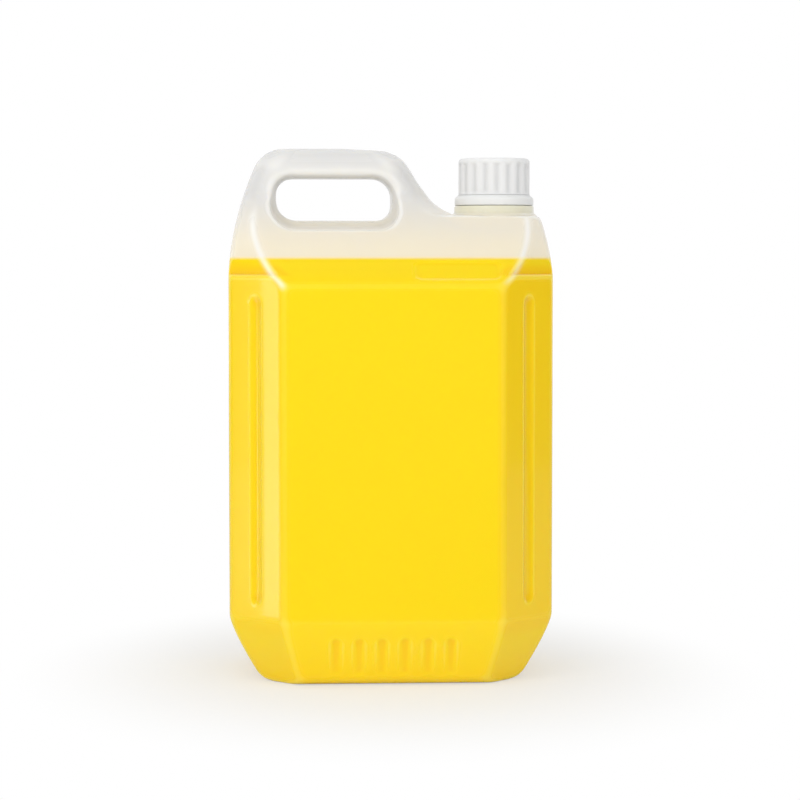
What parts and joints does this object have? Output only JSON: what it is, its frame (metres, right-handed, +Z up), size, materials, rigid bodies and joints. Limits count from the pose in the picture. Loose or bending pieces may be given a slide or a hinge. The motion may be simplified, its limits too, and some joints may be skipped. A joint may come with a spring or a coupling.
{
  "type": "floor cleaner jug",
  "caption": "Blow-moulded jug with a through handle, cut corners and a ribbed screw cap, filled with yellow floor cleaner to the shoulder.",
  "frame": {"origin": "centre of the base, on the plane it stands on", "axes": "+Z up, -Y out of the front panel, +X from the handle towards the neck"},
  "size_m": [0.18, 0.139, 0.2962],
  "materials": {
    "jug_wall": "satin",
    "liquid": "gloss",
    "closure": "satin",
    "liner": "matte"
  },
  "bodies": {
    "jug": {"jug": "jug_wall", "floor_cleaner": "liquid", "tamper_band": "closure"},
    "liner": {"cap_liner": "liner"},
    "cap": {"cap": "closure"}
  },
  "joints": [
    {"name": "cap_lift", "type": "slide", "parent": "jug", "child": "liner", "axis": [0, 0, 1], "range_m": [0, 0.0064]},
    {"name": "cap_turn", "type": "hinge", "parent": "liner", "child": "cap", "pos_m": [0.0603, 0, 0.28], "axis": [0, 0, 1], "range_deg": [0, 540]}
  ],
  "couplings": [
    {"joint": "cap_lift", "follows": "cap_turn", "m_per_rad": 0.00066845}
  ]
}
